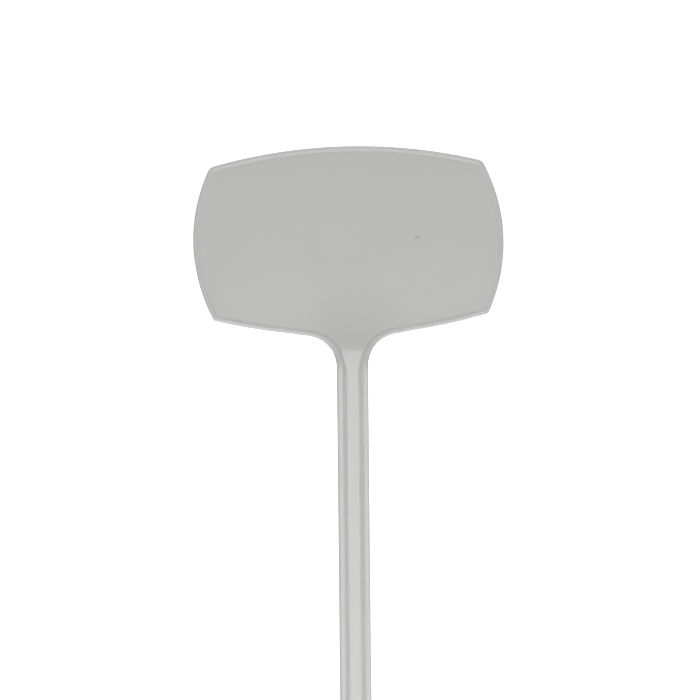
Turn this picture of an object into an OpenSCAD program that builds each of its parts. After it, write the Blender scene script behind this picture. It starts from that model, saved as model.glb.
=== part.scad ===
// Plant label stake: a framed writing plate that leans back on a channel section stem.
// The soil line on the stem's axis is the origin, +Z is up and the plate faces -Y.
// Sizes are in millimetres and angles in degrees.

/* [Label plate] */
// Width of the plate at its widest
plate_w = 100; // [80:1:130]
// Height of the plate's top edge above the bend, measured along the plate
plate_top = 71.8; // [64:0.1:84]
// Radius of the bowed top edge
top_r = 169.5; // [130:0.5:260]
// Radius of the bowed side edges
side_r = 55.5; // [50:0.5:66]
// Height of the widest point above the bend, measured along the plate
side_mid = 40.8; // [36:0.1:44]
// Radius of the bowed lower edge
lower_r = 166.5; // [140:0.5:260]
// Height above the bend where the lower edge would cross the axis
lower_mid = 10.1; // [7:0.1:13]
// Thickness of the plate inside its border
plate_t = 1.5; // [1:0.1:2.2]
// How far the plate leans back from the stem
lean = 30; // [20:1:40]

/* [Border bead] */
// Width of the raised bead round the plate
bead_w = 2.1; // [1.4:0.1:3]
// Height of the bead above the plate's face
bead_h = 0.6; // [0.4:0.1:1]

/* [Stem] */
// Width of the stem across both ribs
stem_w = 10.2; // [9:0.1:13]
// Depth of the stem from the ribs' faces to its back
stem_d = 4.6; // [4:0.1:6]
// Depth of the channel in the stem's front
channel_d = 3.2; // [2.6:0.1:3.6]
// Width of each rib's flat face
rib_face = 1.6; // [1.2:0.1:2.2]
// Width of each rib at the channel's floor
rib_foot = 3.4; // [2.6:0.1:3.6]
// Height of the bend above the soil line
bend_h = 120; // [80:1:160]

/* [Point] */
// Depth of the stake below the soil line
spike_h = 95; // [70:1:130]
// Length of the tapered point
point_h = 45; // [30:1:60]
// Width of the blunt tip
tip_w = 2.4; // [1.6:0.1:4]
// Thickness of the blunt tip
tip_t = 1.6; // [1.2:0.1:2.2]

/* [Hidden] */
$fn = 180;
moulding_grey = [0.78, 0.78, 0.77];

// Half sizes and the centres of the outline's arcs, seen square to the plate
half_plate = plate_w / 2;
half_stem = stem_w / 2;
half_depth = stem_d / 2;
top_c = [0, plate_top - top_r];
side_c = [half_plate - side_r, side_mid];
lower_c = [0, lower_mid + lower_r];

// The neck's arc touches the stem's side at the bend and the lower edge further out
neck_r = (half_stem * half_stem + lower_mid * lower_mid + 2 * lower_mid * lower_r)
    / (2 * (lower_r - half_stem));
neck_c = [half_stem + neck_r, 0];
neck_ray = (lower_c - neck_c) / norm(lower_c - neck_c);
neck_ray_a = atan2(neck_ray.y, neck_ray.x);
neck_web_reach = neck_r + 3 * bead_w;

// The bead is a segment of a circle on a chord as wide as the bead
bead_r = (bead_w * bead_w / 4 + bead_h * bead_h) / (2 * bead_h);
bead_steps = 48;
plate_back = bead_h + plate_t;

// The ribs widen evenly from their faces to the stem's back
rib_slope = (rib_foot - rib_face) / channel_d;
rib_back = rib_face + rib_slope * stem_d;

// The depths of the channel's floor and of the stem's back, square to the plate at the bend
floor_w = channel_d / cos(lean);
back_w = stem_d / cos(lean);
// Where the plate's face leaves the channel's floor, and its back the stem's back
floor_end = (channel_d - bead_h * cos(lean)) / sin(lean);
back_end = (stem_d - plate_back * cos(lean)) / sin(lean);

// The point's taper
point_top = point_h - spike_h;
taper = atan((stem_w - tip_w) / (2 * point_h));

// Room past a cut, so that no two cutting faces lie in one plane
spare = 5;
spare_a = 3;

// The crossing, on the right, of two circles whose centres lie near the axis
function crossing(c1, r1, c2, r2) =
    let (d = norm(c2 - c1))
    let (e = (c2 - c1) / d)
    let (a = (r1 * r1 - r2 * r2 + d * d) / (2 * d))
    c1 + a * e + sqrt(r1 * r1 - a * a) * [e.y, -e.x];

// The point past b on the line from a to b
function past(a, b, d) = b + d * (b - a) / norm(b - a);

function heading(centre, p) = atan2(p.y - centre.y, p.x - centre.x);

// Corners of the outline, and of the line along the bead's inner edge
top_corner = crossing(top_c, top_r, side_c, side_r);
top_corner_in = crossing(top_c, top_r - bead_w, side_c, side_r - bead_w);
low_corner = crossing(side_c, side_r, lower_c, lower_r);
low_corner_in = crossing(side_c, side_r - bead_w, lower_c, lower_r - bead_w);
top_mitre_out = past(top_corner_in, top_corner, spare);
top_mitre_in = past(top_corner, top_corner_in, spare);
low_mitre_out = past(low_corner_in, low_corner, spare);
low_mitre_in = past(low_corner, low_corner_in, spare);

function flip(p) = [-p.x, p.y];

// Puts what is drawn seen square to the plate, with z towards the front, in its place
module on_plate() {
    translate([0, -half_depth, bend_h])
    rotate([90 - lean, 0, 0])
    children();
}

module left_of_axis(left) {
    mirror([left ? 1 : 0, 0, 0])
    children();
}

// The plate's part in the neck, up to where the border begins
module neck_plan() {
    tip = neck_c + neck_web_reach * neck_ray;
    polygon([neck_c, tip, flip(tip), flip(neck_c)]);
}

// The flat face inside the bead
module face_outline() {
    difference() {
        intersection() {
            translate(top_c)
            circle(r = top_r - bead_w);
            translate(side_c)
            circle(r = side_r - bead_w);
            translate(flip(side_c))
            circle(r = side_r - bead_w);
            translate(lower_c)
            circle(r = lower_r - bead_w);
        }
        neck_plan();
    }
}

module label_plate() {
    color(moulding_grey)
    on_plate()
    translate([0, 0, -plate_back])
    linear_extrude(plate_t)
    face_outline();
}

// The plate's rim and the bead on it, from the bead's foot outwards
module border_section() {
    translate([0, -plate_back])
    square([bead_w, plate_t]);
    intersection() {
        translate([bead_w / 2, -bead_r])
        circle(r = bead_r, $fn = bead_steps);
        translate([-bead_w, -bead_h])
        square([3 * bead_w, 2 * bead_h]);
    }
}

// A length of border inside an arc of the outline, between two headings from its centre
module border_arc(centre, r, from, to) {
    translate([centre.x, centre.y, 0])
    rotate([0, 0, from])
    rotate_extrude(angle = to - from)
    translate([r - bead_w, 0])
    border_section();
}

// Keeps what lies in the given plan
module keep_on(plan) {
    intersection() {
        children();
        translate([0, 0, -2 * plate_back])
        linear_extrude(4 * plate_back)
        polygon(plan);
    }
}

module border_top() {
    reach = 90 - heading(top_c, top_corner) + spare_a;
    color(moulding_grey)
    on_plate()
    keep_on([
        top_mitre_in, top_mitre_out,
        [top_mitre_out.x, plate_top + spare],
        [-top_mitre_out.x, plate_top + spare],
        flip(top_mitre_out), flip(top_mitre_in)
    ])
    border_arc(top_c, top_r, 90 - reach, 90 + reach);
}

module border_side(left) {
    color(moulding_grey)
    on_plate()
    left_of_axis(left)
    keep_on([
        top_mitre_in, top_mitre_out,
        [half_plate + spare, top_mitre_out.y],
        [half_plate + spare, low_mitre_out.y],
        low_mitre_out, low_mitre_in
    ])
    border_arc(
        side_c, side_r,
        heading(side_c, low_corner) - 2 * spare_a,
        heading(side_c, top_corner) + 2 * spare_a
    );
}

module border_left() {
    border_side(left = true);
}

module border_right() {
    border_side(left = false);
}

module border_lower(left) {
    color(moulding_grey)
    on_plate()
    left_of_axis(left)
    keep_on([
        low_mitre_in, low_mitre_out,
        [low_mitre_out.x, 0], [0, 0], [0, low_mitre_in.y]
    ])
    border_arc(
        lower_c, lower_r,
        heading(lower_c, neck_c),
        heading(lower_c, low_corner) + spare_a
    );
}

module border_lower_left() {
    border_lower(left = true);
}

module border_lower_right() {
    border_lower(left = false);
}

// The rib's section, from its outer side at x = 0 inwards and from its face at y = 0 back.
// It keeps its slopes on behind the stem's back by the given share of its depth.
module rib_section(depth, more = 0) {
    inner = rib_back + more * (rib_back - rib_face);
    polygon([[0, 0], [rib_face, 0], [inner, -depth * (1 + more)], [0, -depth * (1 + more)]]);
}

// The web's section beside that rib, drawn on past the stem's axis
module web_section() {
    polygon([
        [rib_foot, -channel_d], [2 * stem_w, -channel_d], [2 * stem_w, -stem_d],
        [rib_back, -stem_d]
    ]);
}

// The plate's and the stem's walls in one side view: x runs up the plate, y into it
module neck_side(front) {
    rotate([90, 0, 90])
    linear_extrude(plate_w, center = true)
    polygon(concat(
        front,
        [
            [neck_r + neck_web_reach, -plate_back],
            [back_end, -plate_back],
            [0, -back_w]
        ]
    ));
}

module neck_rib_round(from, to) {
    translate([neck_c.x, neck_c.y, 0])
    rotate([0, 0, from])
    rotate_extrude(angle = to - from)
    translate([neck_r, 0])
    rib_section(back_w, more = 1);
}

module neck_rib(left) {
    color(moulding_grey)
    on_plate()
    left_of_axis(left)
    intersection() {
        neck_rib_round(neck_ray_a, 180 + spare_a);
        neck_side([[0, spare], [neck_r + neck_web_reach, spare]]);
    }
}

module neck_rib_left() {
    neck_rib(left = true);
}

module neck_rib_right() {
    neck_rib(left = false);
}

// What the neck's rib and its arc take out of the web
module neck_clearing() {
    height = 2 * back_w;
    translate([neck_c.x, neck_c.y, -height])
    cylinder(
        h = height,
        r1 = neck_r + rib_back + rib_back - rib_face,
        r2 = neck_r + rib_face
    );
}

module neck_web() {
    color(moulding_grey)
    on_plate()
    difference() {
        intersection() {
            translate([0, 0, -back_w - spare])
            linear_extrude(back_w + 2 * spare)
            neck_plan();
            neck_side([
                [0, -floor_w],
                [floor_end, -bead_h],
                [neck_r + neck_web_reach, -bead_h]
            ]);
        }
        neck_clearing();
        mirror([1, 0, 0])
        neck_clearing();
    }
}

// Cuts a stem that runs too far up off square to the plate at the bend
module stem_end() {
    difference() {
        children();
        on_plate()
        translate([-stem_w, 0, -plate_w / 2])
        cube([2 * stem_w, plate_w, plate_w]);
    }
}

// Draws a section from the stem's front edge on the right down to the point
module along_stem() {
    translate([half_stem, -half_depth, point_top])
    linear_extrude(bend_h + spare - point_top)
    rotate(180)
    children();
}

// Draws it on down the point, leaning in to the tip
module along_point() {
    translate([half_stem, -half_depth, point_top])
    rotate([0, taper, 0])
    translate([0, 0, -2 * point_h])
    linear_extrude(2 * point_h + spare)
    rotate(180)
    children();
}

module stem_web() {
    color(moulding_grey)
    stem_end()
    intersection() {
        along_stem()
        web_section();
        mirror([1, 0, 0])
        along_stem()
        web_section();
    }
}

module stem_rib(left) {
    color(moulding_grey)
    stem_end()
    left_of_axis(left)
    along_stem()
    rib_section(stem_d);
}

module stem_rib_left() {
    stem_rib(left = true);
}

module stem_rib_right() {
    stem_rib(left = false);
}

// The point in side view: its face slopes back to the tip
module point_side() {
    translate([0, -half_depth, point_top])
    rotate([90, 0, -90])
    linear_extrude(2 * stem_w, center = true)
    polygon([
        [0, 0], [-stem_d, 0], [-stem_d, -point_h], [tip_t - stem_d, -point_h]
    ]);
}

module point_web() {
    color(moulding_grey)
    intersection() {
        along_point()
        web_section();
        mirror([1, 0, 0])
        along_point()
        web_section();
        point_side();
    }
}

// The ribs close in on each other and meet on the axis
module point_rib(left) {
    color(moulding_grey)
    left_of_axis(left)
    intersection() {
        along_point()
        rib_section(stem_d);
        point_side();
        translate([0, -stem_w, point_top - 2 * point_h])
        cube([stem_w, 2 * stem_w, 3 * point_h]);
    }
}

module point_rib_left() {
    point_rib(left = true);
}

module point_rib_right() {
    point_rib(left = false);
}

label_plate();
border_top();
border_left();
border_right();
border_lower_left();
border_lower_right();
neck_web();
neck_rib_left();
neck_rib_right();
stem_web();
stem_rib_left();
stem_rib_right();
point_web();
point_rib_left();
point_rib_right();
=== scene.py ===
"""The looks of a moulded plant label stake: its framed writing plate, neck, channel stem and point.

Lengths are millimetres until a mesh is made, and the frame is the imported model's: the soil line
on the stem's axis is the origin, +Z is up and the plate faces -Y.
"""

import math

import bmesh
import bpy
import numpy as np
from mathutils import Matrix, Vector


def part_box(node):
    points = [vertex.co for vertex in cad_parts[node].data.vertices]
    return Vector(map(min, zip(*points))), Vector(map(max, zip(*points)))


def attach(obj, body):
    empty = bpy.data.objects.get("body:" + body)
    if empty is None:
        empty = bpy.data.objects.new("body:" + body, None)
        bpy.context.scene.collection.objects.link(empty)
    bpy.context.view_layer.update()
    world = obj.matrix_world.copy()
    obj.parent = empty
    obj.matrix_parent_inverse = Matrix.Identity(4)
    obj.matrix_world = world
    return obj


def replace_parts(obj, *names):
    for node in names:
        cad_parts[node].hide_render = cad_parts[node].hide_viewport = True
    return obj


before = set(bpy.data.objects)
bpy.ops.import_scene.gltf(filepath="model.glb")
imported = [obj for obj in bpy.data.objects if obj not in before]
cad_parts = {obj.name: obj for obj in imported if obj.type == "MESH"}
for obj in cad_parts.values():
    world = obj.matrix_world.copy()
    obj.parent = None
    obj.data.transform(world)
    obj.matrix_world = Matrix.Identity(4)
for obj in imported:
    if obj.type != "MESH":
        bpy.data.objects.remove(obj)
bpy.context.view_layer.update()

MM = 0.001

# What the frame says
HALF_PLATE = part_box("border_right")[1].x / MM
HALF_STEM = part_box("stem_rib_right")[1].x / MM
HALF_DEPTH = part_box("stem_rib_right")[1].y / MM
POINT_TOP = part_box("stem_rib_right")[0].z / MM
TIP_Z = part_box("point_rib_right")[0].z / MM
STEM_D = 2 * HALF_DEPTH

# The bend's height over the soil, and how far the plate leans back from upright
BEND_H = 120
LEAN = math.radians(30)

# The plate's outline, seen square to the plate with the bend at height 0: the radius of each edge,
# with the heights of the top's middle, the side's middle and the lower arc's lowest point
PLATE_TOP = 71.8
TOP_R = 169.5
SIDE_R = 55.5
SIDE_MID = 40.8
LOWER_R = 166.5
LOWER_MID = 10.1
# The radii that round its corners, and the least that they shrink to inside the bead
TOP_ROUND = 3
LOW_ROUND = 0.6
LEAST_ROUND = 0.15

# Depths behind the bead's crown and the ribs' crests: the plate's face, its back, and the channel
FACE_DEPTH = 0.55
BACK_DEPTH = 2.1
CHANNEL_D = 3.2
# How far the outer sides lean in from the back to the crown, so that the mould lets go
DRAFT = 0.15

# The point's blunt tip: half its width, its thickness and the length that is rounded
TIP_HALF = 1.2
TIP_T = 1.6
TIP_ROUND = 1.0
# At its very end it is narrower on each side by this much of that length, and thinner by this share
TIP_NARROWS = 0.8
TIP_THINS = 0.6

# Where the stem's straight stretch begins, below the bend
STEM_DROP = 4
# How far the neck's web reaches into the plate, and the least half width that a web is kept at
WEB_REACH = 6
LEAST_WEB = 0.02
# The ejector pins' marks: their radius, how far they stand out, and where they are up the stem, and
# across and up the plate
PIN_R = 1.6
PIN_RISE = 0.12
STEM_PINS = (15, 35, 55, 75, 95)
PLATE_PINS = [(-32, 24), (32, 24), (0, 41), (-32, 58), (32, 58)]
# The depth over which the plate's planes turn softly into the stem's
BEND_SOFT = 0.7
# The outline swells by this much where the lower edge turns into the neck, so that the turn starts
# slowly: from where along the lower edge, and to where round the neck
NECK_SWELL = 0.35
SWELL_FROM = 0.8
SWELL_TO = 0.7
# How far round the neck the bead has widened into the rib
RIB_FULL = 0.625

# How many rings of points each stretch has, and how many sides a pin's mark has
CORNER_RINGS = 5
TOP_RINGS = 40
SIDE_RINGS = 44
LOWER_RINGS = 60
NECK_RINGS = 44
DROP_RINGS = 12
STEM_RINGS = 30
POINT_RINGS = 60
TIP_RINGS = 6
PIN_SIDES = 40

# Points of a mesh that are nearer than this are one, and edges that turn more than this are sharp
SAME_PLACE = 1e-4
SHARP_EDGE = math.radians(38)

# The plastic's tone from 0 to 1, and how far its clouds, its grain, the painted shade just over the
# bend and its marks change that
TONE = 0.591
CLOUD_TONE = 0.02
GRAIN_TONE = 0.012
NECK_SHADE_TONE = 0.062
NICK_TONE = 0.25
SPECK_TONE = 0.03
BLUE_SHARE = 0.992
# The sizes of its clouds and of its grain, and how deep the grain is
CLOUD_SIZE = 28
GRAIN_SIZE = 0.3
GRAIN_DEPTH = 0.02
# How high over the bend the painted shade on the plate's face is centred, and how far that darker
# patch reaches
NECK_SHADE_UP = 4
NECK_SHADE_REACH = 24

# Where the outline's own origin, at the bend, lies along and square to the plate
PLATE_ORIGIN_UP = BEND_H * math.cos(LEAN) - HALF_DEPTH * math.sin(LEAN)
PLATE_ORIGIN_BEHIND = -HALF_DEPTH * math.cos(LEAN) - BEND_H * math.sin(LEAN)


def unit(a):
    return np.array([math.cos(a), math.sin(a)])


def heading(centre, p):
    d = np.subtract(p, centre)
    return math.atan2(d[1], d[0])


def crossing(c1, r1, c2, r2):
    """The crossing, on the right, of two circles whose centres lie near the axis."""
    c1, c2 = np.array(c1), np.array(c2)
    d = np.linalg.norm(c2 - c1)
    e = (c2 - c1) / d
    a = (r1 * r1 - r2 * r2 + d * d) / (2 * d)
    return c1 + a * e + math.sqrt(r1 * r1 - a * a) * np.array([e[1], -e[0]])


TOP_C = (0, PLATE_TOP - TOP_R)
SIDE_C = (HALF_PLATE - SIDE_R, SIDE_MID)
LOWER_C = (0, LOWER_MID + LOWER_R)
NECK_R = (HALF_STEM**2 + LOWER_MID**2 + 2 * LOWER_MID * LOWER_R) / (2 * (LOWER_R - HALF_STEM))
NECK_C = (HALF_STEM + NECK_R, 0)
NECK_RAY = heading(NECK_C, LOWER_C)


class Section:
    """One rib's section: offsets inwards from the outline, and depths behind the crown.

    Its points run from the strip beside the rib over the foot and the crest to the back.
    """

    # The points from the crest's inner edge down to the foot
    inner_wall = slice(15, 1, -1)

    def __init__(self, face, foot, floor, back, inner_r, outer_r, foot_r, strip, back_r=0.3):
        # Each corner with the radius that rounds it and how many points it gets
        corners = [
            ((foot + strip, back), 0, 1),
            ((foot + strip, floor), 0, 1),
            ((foot, floor), foot_r, 6),
            ((face, 0), inner_r, 8),
            ((DRAFT, 0), outer_r, 11),
            ((0, back), back_r, 5),
        ]
        points = []
        for i, (corner, r, count) in enumerate(corners):
            before = np.subtract(corners[i - 1][0], corner)
            after = np.subtract(corners[(i + 1) % len(corners)][0], corner)
            points += rounded(np.array(corner), before, after, r, count)
        self.offset, self.depth = np.array(points).T


def rounded(corner, before, after, r, count):
    """Points on an arc of radius r that rounds a corner between two legs."""
    if count == 1:
        return [corner]
    before = before / np.linalg.norm(before)
    after = after / np.linalg.norm(after)
    half = math.acos(np.clip(before @ after, -1, 1)) / 2
    middle = before + after
    centre = corner + r / math.sin(half) * middle / np.linalg.norm(middle)
    start = corner + r / math.tan(half) * before - centre
    end = corner + r / math.tan(half) * after - centre
    sweep = math.pi - 2 * half
    points = []
    for t in np.linspace(0, 1, count):
        near = math.sin((1 - t) * sweep) * start + math.sin(t * sweep) * end
        points.append(centre + near / math.sin(sweep))
    return points


# The rib's shape on the border, at the end of the neck's arc and on the stem
BEAD = dict(face=1.05, foot=1.75, inner_r=0.7, outer_r=0.65, foot_r=0.7, strip=0.65)
RIB_TOP = dict(face=1.7, foot=2.2, inner_r=1.0, outer_r=1.1, foot_r=0.7, strip=0.65)
BORDER = Section(**BEAD, floor=FACE_DEPTH, back=BACK_DEPTH)
RIB = dict(face=1.65, foot=3.25, inner_r=1.3, outer_r=1.0, foot_r=1.0, strip=0.85)
STEM = Section(**RIB, floor=CHANNEL_D, back=STEM_D)


def smooth(t):
    t = np.clip(t, 0, 1)
    return t * t * (3 - 2 * t)


def mix(a, b, t):
    return a + (b - a) * t


def plate_to_frame(x, v, depth):
    """From across and up the plate, and the depth behind the bead's crown, to the frame."""
    y = v * math.sin(LEAN) + depth * math.cos(LEAN) - HALF_DEPTH
    z = BEND_H + v * math.cos(LEAN) - depth * math.sin(LEAN)
    return np.stack(np.broadcast_arrays(x, y, z), -1)


def bent_depth(v, plate_depth, stem_depth):
    """The depth where a plane of the plate turns softly into the matching plane of the stem."""
    on_stem = (stem_depth - v * math.sin(LEAN)) / math.cos(LEAN)
    gap = np.maximum(BEND_SOFT - abs(on_stem - plate_depth), 0)
    return np.maximum(plate_depth, on_stem) + gap * gap / (4 * BEND_SOFT)


def on_arc(centre, radius, angle):
    return centre[0] + radius * np.cos(angle), centre[1] + radius * np.sin(angle)


def corner_of(c1, r1, c2, r2, round_r, d):
    """A rounded corner of the outline at an offset: its centre, radius and the two headings."""
    r = max(round_r - d, LEAST_ROUND)
    centre = crossing(c1, r1 - d - r, c2, r2 - d - r)
    return centre, r, heading(c1, centre), heading(c2, centre)


def top_corner(d):
    return corner_of(TOP_C, TOP_R, SIDE_C, SIDE_R, TOP_ROUND, d)


def low_corner(d):
    return corner_of(SIDE_C, SIDE_R, LOWER_C, LOWER_R, LOW_ROUND, d)


def top_path(t, d):
    """The right half of the top edge: t is 0 on the axis, 1 at the corner and 2 at its middle."""
    centre, r, start, end = top_corner(d)
    if t <= 1:
        return on_arc(TOP_C, TOP_R - d, mix(math.pi / 2, start, t))
    return on_arc(centre, r, mix(start, (start + end) / 2, t - 1))


def side_path(t, d):
    """The right edge: t is -1 in one corner's middle, 0 to 1 down the side and 2 in the next."""
    top, top_r, top_start, top_end = top_corner(d)
    low, low_r, low_start, low_end = low_corner(d)
    if t < 0:
        return on_arc(top, top_r, mix(top_end, (top_start + top_end) / 2, -t))
    if t <= 1:
        return on_arc(SIDE_C, SIDE_R - d, mix(top_end, low_start, t))
    return on_arc(low, low_r, mix(low_start, (low_start + low_end) / 2, t - 1))


def lower_path(t, d):
    """The right half of the lower edge: t is -1 in the corner's middle, and 0 to 1 to the neck."""
    centre, r, start, end = low_corner(d)
    if t < 0:
        return on_arc(centre, r, mix(end, (start + end) / 2, -t))
    swell = NECK_SWELL * smooth((t - SWELL_FROM) / (1 - SWELL_FROM))
    return on_arc(LOWER_C, LOWER_R + swell - d, mix(end, heading(LOWER_C, NECK_C), t))


def border_ring(path, t):
    points = np.array([path(t, d) for d in BORDER.offset])
    return plate_to_frame(points[:, 0], points[:, 1], BORDER.depth)


def steps(first, last, count):
    """Stations along a path from 0 to 1, and from -1 or to 2 where half a corner is at that end."""
    found = list(np.linspace(0, 1, count))
    corner = np.linspace(0, 1, CORNER_RINGS + 1)
    if first < 0:
        found = [-t for t in corner[:0:-1]] + found
    if last > 1:
        found = found + [1 + t for t in corner[1:]]
    return found


def neck_rings():
    """Rings from the lower border's end round the neck's arc and down to the straight stem."""
    rings = []
    # How far up the plate its face meets the plane of the channel's floor
    floor_end = (CHANNEL_D - FACE_DEPTH * math.cos(LEAN)) / math.sin(LEAN)
    for t in np.linspace(0, 1, NECK_RINGS):
        angle = mix(NECK_RAY, math.pi, t)
        rib = smooth(t / RIB_FULL)
        top = {name: mix(BEAD[name], RIB_TOP[name], rib) for name in BEAD}
        here = Section(**top, floor=FACE_DEPTH, back=BACK_DEPTH)
        foot_v = (NECK_R + here.offset[1]) * math.sin(angle)
        deep = smooth((floor_end - foot_v) / (floor_end + STEM_DROP))
        offset = mix(here.offset, STEM.offset, deep)
        swell = NECK_SWELL * (1 - smooth(t / SWELL_TO))
        x, v = on_arc(NECK_C, NECK_R - swell + offset, angle)
        rings.append(plate_to_frame(x, v, bent_depth(v, here.depth, STEM.depth)))
    # How far up the plate's own slope each point is on the last ring, which is level
    last = STEM.depth * math.sin(LEAN) - STEM_DROP * math.cos(LEAN)
    flat = Section(**RIB_TOP, floor=FACE_DEPTH, back=BACK_DEPTH)
    for t in np.linspace(0, 1, DROP_RINGS + 1)[1:]:
        v = last * t
        deep = smooth((floor_end + STEM_DROP * t) / (floor_end + STEM_DROP))
        offset = mix(flat.offset, STEM.offset, deep)
        rings.append(plate_to_frame(HALF_STEM - offset, v, bent_depth(v, flat.depth, STEM.depth)))
    return rings


def stem_ring():
    """The section of the stem's right rib, at height 0."""
    return np.stack(np.broadcast_arrays(HALF_STEM - STEM.offset, STEM.depth - HALF_DEPTH, 0), -1)


def point_rings():
    """Rings down the tapered point, where the ribs close in and meet on the axis."""
    rings = []
    length = POINT_TOP - TIP_Z
    turns = np.linspace(0, math.pi / 2, TIP_RINGS + 1)[1:]
    drops = list(np.linspace(0, length - TIP_ROUND, POINT_RINGS))
    drops += [length - TIP_ROUND * (1 - math.sin(turn)) for turn in turns]
    wall_offset, wall_depth = STEM.offset[Section.inner_wall], STEM.depth[Section.inner_wall]
    for drop in drops:
        t = drop / length
        half = mix(HALF_STEM, TIP_HALF, t)
        face = mix(0, STEM_D - TIP_T, t)
        into_tip = (drop - length + TIP_ROUND) / TIP_ROUND
        blunt = TIP_ROUND * (1 - math.sqrt(1 - into_tip**2)) if into_tip > 0 else 0
        offset = np.minimum(STEM.offset, half)
        depth = np.maximum(STEM.depth, face)
        # Where the ribs' walls meet, the channel is as deep as they are on the axis
        if half < wall_offset[-1]:
            inner = (STEM.offset >= half) & (STEM.depth < STEM_D)
            depth[inner] = max(np.interp(half, wall_offset, wall_depth), face)
        x = (half - offset) * (half - TIP_NARROWS * blunt) / half
        y = mix(depth, (face + STEM_D) / 2, TIP_THINS * blunt / TIP_ROUND) - HALF_DEPTH
        rings.append(np.stack(np.broadcast_arrays(x, y, POINT_TOP - drop), -1))
    return rings


def extra_piece(name, made, material):
    """Turns a bmesh in millimetres into a piece that faces outwards and rides on the one body."""
    bmesh.ops.remove_doubles(made, verts=made.verts, dist=SAME_PLACE)
    bmesh.ops.recalc_face_normals(made, faces=made.faces)
    bmesh.ops.scale(made, vec=(MM, MM, MM), verts=made.verts)
    mesh = bpy.data.meshes.new(name)
    made.to_mesh(mesh)
    made.free()
    mesh.shade_smooth()
    mesh.set_sharp_from_angle(angle=SHARP_EDGE)
    mesh.materials.append(material)
    piece = bpy.data.objects.new(name, mesh)
    bpy.context.scene.collection.objects.link(piece)
    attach(piece, "root")
    return piece


def new_piece(node, made, material):
    """A piece that stands for its node."""
    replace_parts(extra_piece(node + "_skin", made, material), node)


def flip(ring):
    """The same ring on the other side of the axis."""
    return ring * [-1, 1, 1]


def swept(rings):
    """A closed tube through rings that have the same number of points, with flat ends."""
    made = bmesh.new()
    rows = [[made.verts.new(p) for p in ring] for ring in rings]
    count = len(rows[0])
    for a, b in zip(rows, rows[1:]):
        for i in range(count):
            j = (i + 1) % count
            made.faces.new((a[i], a[j], b[j], b[i]))
    made.faces.new(rows[0])
    made.faces.new(rows[-1])
    return made


def rung(ring):
    """The web's section, from the strip beside the right rib to the one beside the left rib."""
    return np.array([ring[1], ring[0], flip(ring[0]), flip(ring[1])])


def web(rings):
    return swept([rung(ring) for ring in rings])


class Socket:
    """An output in a node tree, or the tree alone. Python's operators on it add Math nodes."""

    def __init__(self, tree, link=None):
        self.tree = tree
        self.link = link

    def node(self, kind, settings=None, inputs=None, output=0):
        """Adds a node of that kind and gives it its settings and its sockets' values or links."""
        made = self.tree.nodes.new(kind)
        for name, value in (settings or {}).items():
            setattr(made, name, value)
        for name, value in (inputs or {}).items():
            if isinstance(value, Socket):
                self.tree.links.new(value.link, made.inputs[name])
            else:
                made.inputs[name].default_value = value
        return Socket(self.tree, made.outputs[output] if len(made.outputs) else None)

    def maths(self, operation, *others):
        values = dict(enumerate((self, *others)))
        return self.node("ShaderNodeMath", {"operation": operation}, values)

    def __add__(self, other):
        return self.maths("ADD", other)

    __radd__ = __add__

    def __sub__(self, other):
        return self.maths("SUBTRACT", other)

    def __rsub__(self, other):
        return self * -1 + other

    def __mul__(self, other):
        return self.maths("MULTIPLY", other)

    __rmul__ = __mul__


def node_tree(name, sizes):
    """A geometry tree that takes a shape, those named sizes and a material."""
    tree = bpy.data.node_groups.new(name, "GeometryNodeTree")
    tree.interface.new_socket("Geometry", in_out="INPUT", socket_type="NodeSocketGeometry")
    for size, kind in sizes.items():
        tree.interface.new_socket(size, in_out="INPUT", socket_type=kind)
    tree.interface.new_socket("Material", in_out="INPUT", socket_type="NodeSocketMaterial")
    tree.interface.new_socket("Geometry", in_out="OUTPUT", socket_type="NodeSocketGeometry")
    source = tree.nodes.new("NodeGroupInput")
    return Socket(tree), {socket.name: Socket(tree, socket) for socket in source.outputs}


def end_tree(graph, shape, given):
    """Closes a geometry tree: what it made is realised and gets its material."""
    real = graph.node("GeometryNodeRealizeInstances", inputs={"Geometry": shape})
    dressed = {"Geometry": real, "Material": given["Material"]}
    done = graph.node("GeometryNodeSetMaterial", inputs=dressed)
    graph.node("NodeGroupOutput", inputs={"Geometry": done})
    return graph.tree


def along_line_tree():
    """Sweeps the loop that it is given straight up, from one height to another, and caps it."""
    sizes = {"Bottom": "NodeSocketFloat", "Top": "NodeSocketFloat", "Rings": "NodeSocketInt"}
    graph, given = node_tree("along_line", sizes)
    low = graph.node("ShaderNodeCombineXYZ", inputs={"Z": given["Bottom"]})
    high = graph.node("ShaderNodeCombineXYZ", inputs={"Z": given["Top"]})
    line = graph.node("GeometryNodeCurvePrimitiveLine", inputs={"Start": low, "End": high})
    line = graph.node("GeometryNodeResampleCurve", inputs={"Curve": line, "Count": given["Rings"]})
    line = graph.node("GeometryNodeSetCurveNormal", {"mode": "Z_UP"}, {"Curve": line})
    loop = graph.node("GeometryNodeMeshToCurve", inputs={"Mesh": given["Geometry"]})
    prism = graph.node(
        "GeometryNodeCurveToMesh", inputs={"Curve": line, "Profile Curve": loop, "Fill Caps": True}
    )
    return end_tree(graph, prism, given)


def pin_mark_tree():
    """Sets a low disc on each point that it is given, where an ejector pin pushed the moulding."""
    sizes = {"Radius": "NodeSocketFloat", "Height": "NodeSocketFloat", "Tilt": "NodeSocketFloat"}
    graph, given = node_tree("pin_marks", sizes)
    disc = graph.node(
        "GeometryNodeMeshCylinder",
        inputs={"Vertices": PIN_SIDES, "Radius": given["Radius"], "Depth": given["Height"]},
    )
    tilt = graph.node("ShaderNodeCombineXYZ", inputs={"X": given["Tilt"]})
    placed = graph.node(
        "GeometryNodeInstanceOnPoints",
        inputs={"Points": given["Geometry"], "Instance": disc, "Rotation": tilt},
    )
    return end_tree(graph, placed, given)


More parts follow.
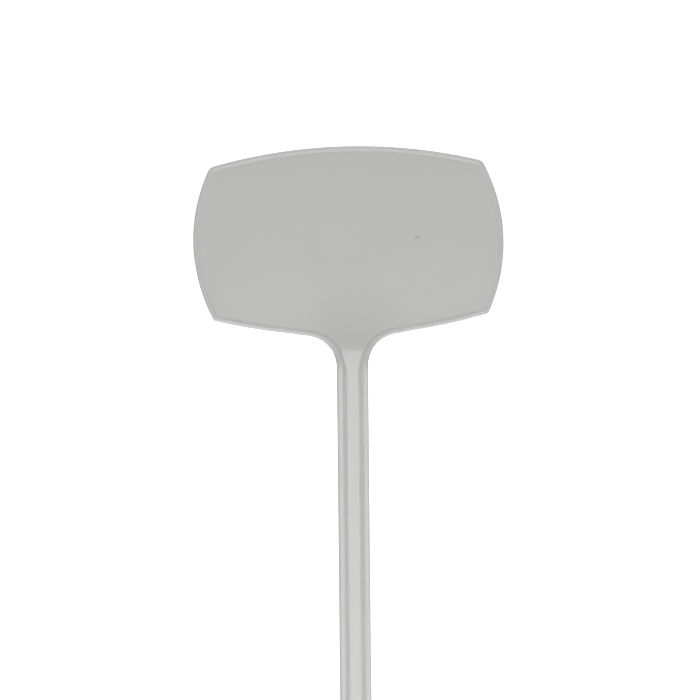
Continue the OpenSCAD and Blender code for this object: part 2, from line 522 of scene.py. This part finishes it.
def grown(tree, points, edges, values):
    """Runs a geometry tree on those points and edges and takes the result as a plain bmesh."""
    mesh = bpy.data.meshes.new(tree.name)
    mesh.from_pydata([tuple(p) for p in points], edges, [])
    seed = bpy.data.objects.new(tree.name, mesh)
    bpy.context.scene.collection.objects.link(seed)
    modifier = seed.modifiers.new(tree.name, "NODES")
    modifier.node_group = tree
    for socket in tree.interface.items_tree:
        if socket.in_out == "INPUT" and socket.name in values:
            modifier[socket.identifier] = values[socket.name]
    ready = seed.evaluated_get(bpy.context.evaluated_depsgraph_get())
    result = bpy.data.meshes.new_from_object(ready)
    seed.modifiers.remove(modifier)
    bpy.data.objects.remove(seed)
    made = bmesh.new()
    made.from_mesh(result)
    return made


def straight(tree, loop, material):
    """A closed prism on a section of the stem at height 0, between the neck and the point."""
    count = len(loop)
    edges = [(i, (i + 1) % count) for i in range(count)]
    sizes = {"Bottom": POINT_TOP, "Top": BEND_H - STEM_DROP, "Rings": STEM_RINGS}
    return grown(tree, loop, edges, {**sizes, "Material": material})


def pin_marks(material):
    """The round marks that the mould's pins left on the back of the plate and of the stem."""
    tree = pin_mark_tree()
    disc = {"Radius": PIN_R, "Height": 2 * PIN_RISE, "Material": material}
    across, up = np.array(PLATE_PINS).T
    marks = [
        ("stem_pin_marks", [(0, HALF_DEPTH, z) for z in STEM_PINS], -math.pi / 2),
        ("plate_pin_marks", plate_to_frame(across, up, BACK_DEPTH), -math.pi / 2 - LEAN),
    ]
    for name, points, tilt in marks:
        extra_piece(name, grown(tree, points, [], {**disc, "Tilt": tilt}), material)


def plate(loop):
    """The flat plate inside the border, from pairs of back and face points round its edge."""
    made = bmesh.new()
    back = [made.verts.new(p) for p in loop[:, 0]]
    face = [made.verts.new(p) for p in loop[:, 1]]
    count = len(face)
    for i in range(count):
        j = (i + 1) % count
        made.faces.new((back[i], back[j], face[j], face[i]))
    made.faces.new(face)
    made.faces.new(back)
    return made


def build(material):
    """Makes every piece of the label."""
    half_top = [border_ring(top_path, t) for t in steps(0, 2, TOP_RINGS)]
    top = [flip(ring) for ring in half_top[:0:-1]] + half_top
    side = [border_ring(side_path, t) for t in steps(-1, 2, SIDE_RINGS)]
    lower = [border_ring(lower_path, t) for t in steps(-1, 1, LOWER_RINGS)]
    neck = neck_rings()
    point = point_rings()
    stem = stem_ring()
    new_piece("border_top", swept(top), material)
    pairs = {"border": side, "border_lower": lower, "neck_rib": neck, "point_rib": point}
    for name, rings in pairs.items():
        new_piece(name + "_right", swept(rings), material)
        new_piece(name + "_left", swept([flip(ring) for ring in rings]), material)
    along_line = along_line_tree()
    new_piece("stem_rib_right", straight(along_line, stem, material), material)
    new_piece("stem_rib_left", straight(along_line, flip(stem), material), material)
    new_piece("stem_web", straight(along_line, rung(stem), material), material)
    across, up = NECK_C + (NECK_R + WEB_REACH) * unit(NECK_RAY)
    web_end = plate_to_frame(across, up, np.array([BACK_DEPTH, FACE_DEPTH]))
    new_piece("neck_web", web([web_end] + neck), material)
    new_piece("point_web", web([ring for ring in point if ring[0][0] > LEAST_WEB]), material)
    right = [ring[:2] for ring in half_top + side[1:] + lower[1:]] + [web_end]
    loop = np.array(right + [flip(pair) for pair in right[:0:-1]])
    new_piece("label_plate", plate(loop), material)
    pin_marks(material)


def moulded_plastic():
    """Pale grey matte plastic with the fine grain of a spark-eroded mould."""
    material = bpy.data.materials.new("moulded_plastic")
    material.use_nodes = True
    tree = material.node_tree
    tree.nodes.clear()
    graph = Socket(tree)
    place = graph.node("ShaderNodeTexCoord", output="Object")

    def noise(size, detail=2.0):
        """Noise from 0 to 1 with lumps of about that size in millimetres."""
        values = {"Vector": place, "Scale": 1 / (size * MM), "Detail": detail}
        return graph.node("ShaderNodeTexNoise", inputs=values, output="Fac")

    def axis(*row):
        """How far a place lies along one direction, in millimetres."""
        return graph.node(
            "ShaderNodeVectorMath",
            {"operation": "DOT_PRODUCT"},
            {0: place, 1: [c / MM for c in row]},
            output="Value",
        )

    def falloff(distance, near, far):
        """1 up to the near distance and 0 past the far one."""
        return graph.node(
            "ShaderNodeMapRange",
            {"interpolation_type": "SMOOTHSTEP"},
            {"Value": distance, "From Min": near, "From Max": far, "To Min": 1, "To Max": 0},
            output="Result",
        )

    across = axis(1, 0, 0)
    up_plate = axis(0, math.sin(LEAN), math.cos(LEAN)) - PLATE_ORIGIN_UP
    behind = axis(0, math.cos(LEAN), -math.sin(LEAN)) - PLATE_ORIGIN_BEHIND

    clouds = noise(CLOUD_SIZE) - 0.5
    grain = noise(GRAIN_SIZE, 3.0)
    # 1 on the plate's front and 0 on its back
    on_face = falloff(behind, 0.75, 1.1)
    # Painted shade: the plate's face is made a little darker just over the bend, where it turns
    # into the neck
    over_shade_centre = up_plate - NECK_SHADE_UP
    from_shade_centre = (across * across + over_shade_centre * over_shade_centre * 0.9).maths("SQRT")
    neck_shade = falloff(from_shade_centre, 2, NECK_SHADE_REACH) * on_face * falloff(up_plate * -1, -3, 3)

    def scratch(start, end, width):
        """A stroke on the plate's face: 1 along its middle and 0 past its width."""
        run = np.subtract(end, start)
        half = np.linalg.norm(run) / 2
        way = run / (2 * half)
        middle = np.add(start, end) / 2
        dx, dv = across - middle[0], up_plate - middle[1]
        along = (dx * way[0] + dv * way[1]).maths("ABSOLUTE")
        past = (along - half).maths("MAXIMUM", 0)
        aside = dv * way[0] - dx * way[1]
        return falloff((past * past + aside * aside).maths("SQRT"), width / 4, width) * on_face

    nick = scratch((21.5, 40.95), (22.8, 41.55), 0.3)
    specks = scratch((-14.5, 44.2), (-14.4, 44.3), 0.55) + scratch((23.8, 22.2), (23.8, 22.4), 0.5)
    plain = TONE + CLOUD_TONE * clouds + GRAIN_TONE * (grain - 0.5)
    # The painted shade over the bend, the nick and the specks darken the plain tone
    tone = plain - NECK_SHADE_TONE * neck_shade - NICK_TONE * nick - SPECK_TONE * specks
    colour = graph.node(
        "ShaderNodeCombineColor", inputs={"Red": tone, "Green": tone, "Blue": tone * BLUE_SHARE}
    )
    bump = graph.node(
        "ShaderNodeBump", inputs={"Strength": 0.35, "Distance": GRAIN_DEPTH * MM, "Height": grain}
    )
    shader = graph.node(
        "ShaderNodeBsdfPrincipled",
        inputs={
            "Base Color": colour,
            "Roughness": 0.62 + 0.08 * clouds,
            "Normal": bump,
            "Specular IOR Level": 0.25,
        },
    )
    graph.node("ShaderNodeOutputMaterial", inputs={"Surface": shader})
    return material


def background_ray(graph):
    """1 for what is seen straight, mirrored or through something clear, and 0 for the rest."""
    rays = ["Is Camera Ray", "Is Glossy Ray", "Is Transmission Ray"]
    seen, mirrored, through = [graph.node("ShaderNodeLightPath", output=ray) for ray in rays]
    return seen + mirrored + through


def floor_white():
    """A pale surface, lifted to white where it is seen, and less near the tip, for its shadow."""
    material = bpy.data.materials.new("floor_white")
    material.use_nodes = True
    tree = material.node_tree
    tree.nodes.clear()
    graph = Socket(tree)
    paint = graph.node("ShaderNodeBsdfDiffuse", inputs={"Color": (0.85, 0.85, 0.85, 1)})
    place = graph.node("ShaderNodeTexCoord", output="Object")
    from_tip = graph.node(
        "ShaderNodeVectorMath",
        {"operation": "DISTANCE"},
        {0: place, 1: (0, 0, TIP_Z * MM)},
        output="Value",
    )
    ends = {"From Min": 120 * MM, "From Max": 450 * MM, "To Min": 0.39, "To Max": 0.86}
    lift = graph.node(
        "ShaderNodeMapRange",
        {"interpolation_type": "SMOOTHSTEP"},
        {"Value": from_tip, **ends},
        output="Result",
    )
    seen = background_ray(graph)
    glow = graph.node("ShaderNodeEmission", inputs={"Color": lift, "Strength": seen})
    both = graph.node("ShaderNodeAddShader", inputs={0: paint, 1: glow})
    graph.node("ShaderNodeOutputMaterial", inputs={"Surface": both})
    return material


def floor(reach):
    """A flat sheet under the tip, that far to each side."""
    corners = [(-reach, -reach), (reach, -reach), (reach, reach), (-reach, reach)]
    mesh = bpy.data.meshes.new("floor")
    mesh.from_pydata([Vector((x, y, TIP_Z)) * MM for x, y in corners], [], [(0, 1, 2, 3)])
    mesh.materials.append(floor_white())
    made = bpy.data.objects.new("floor", mesh)
    bpy.context.scene.collection.objects.link(made)


def panel(name, at, towards, width, height, power):
    """A soft light panel that stands at one place and shines towards another."""
    light = bpy.data.lights.new(name, "AREA")
    light.shape = "RECTANGLE"
    light.size = width * MM
    light.size_y = height * MM
    light.energy = power
    lamp = bpy.data.objects.new(name, light)
    bpy.context.scene.collection.objects.link(lamp)
    lamp.location = Vector(at) * MM
    lamp.rotation_euler = (Vector(towards) - Vector(at)).to_track_quat("-Z", "Y").to_euler()
    lamp.visible_camera = False


def studio():
    """The light, the white surroundings and the floor."""
    world = bpy.data.worlds.new("studio")
    bpy.context.scene.world = world
    world.use_nodes = True
    tree = world.node_tree
    tree.nodes.clear()
    graph = Socket(tree)
    strength = 0.2 + 0.8 * background_ray(graph)
    light = graph.node("ShaderNodeBackground", inputs={"Color": (1, 1, 1, 1), "Strength": strength})
    graph.node("ShaderNodeOutputWorld", inputs={"Surface": light})
    floor(4000)
    neck = (0, 0, 130)
    panel("low_front_panel", (0, -500, -60), neck, 600, 400, 1.75)
    panel("front_panel", (0, -900, 250), neck, 800, 800, 2.4)
    panel("left_panel", (-500, -200, 130), neck, 500, 500, 0.35)
    panel("right_panel", (500, -200, 130), neck, 500, 500, 0.3)
    panel("overhead_panel", (0, 330, 800), neck, 800, 800, 4.5)
    panel("floor_panel", (0, -100, -90), (0, -20, 150), 500, 150, 0.17)
    panel("back_panel", (0, 700, 40), neck, 40, 300, 0.8)


def photograph():
    """The camera, which stands low in front and a little to one side and looks down at the bend."""
    elevation = math.radians(21)
    yaw = math.radians(-2.73)
    roll = math.radians(0.58)
    distance = 2500
    aim_right, aim_up = -0.91, 5.08
    right = Vector((1, 0, 0))
    forward = Vector((0, math.cos(elevation), -math.sin(elevation)))
    up = right.cross(forward)
    bend = Vector((0, -HALF_DEPTH, BEND_H))
    turn = Matrix.Rotation(yaw, 3, "Z")
    aim = turn @ (aim_right * right + aim_up * up) + bend
    turned = turn @ Matrix((right, up, -forward)).transposed() @ Matrix.Rotation(-roll, 3, "Z")
    camera = bpy.data.objects.new("camera", bpy.data.cameras.new("camera"))
    bpy.context.scene.collection.objects.link(camera)
    camera.data.sensor_width = 36
    camera.data.lens = 401.2
    camera.data.clip_end = 20
    stand = (aim + distance * turned.col[2]) * MM
    camera.matrix_world = Matrix.Translation(stand) @ turned.to_4x4()
    bpy.context.scene.camera = camera


photograph()
build(moulded_plastic())
studio()
bpy.context.scene.view_settings.view_transform = "Standard"
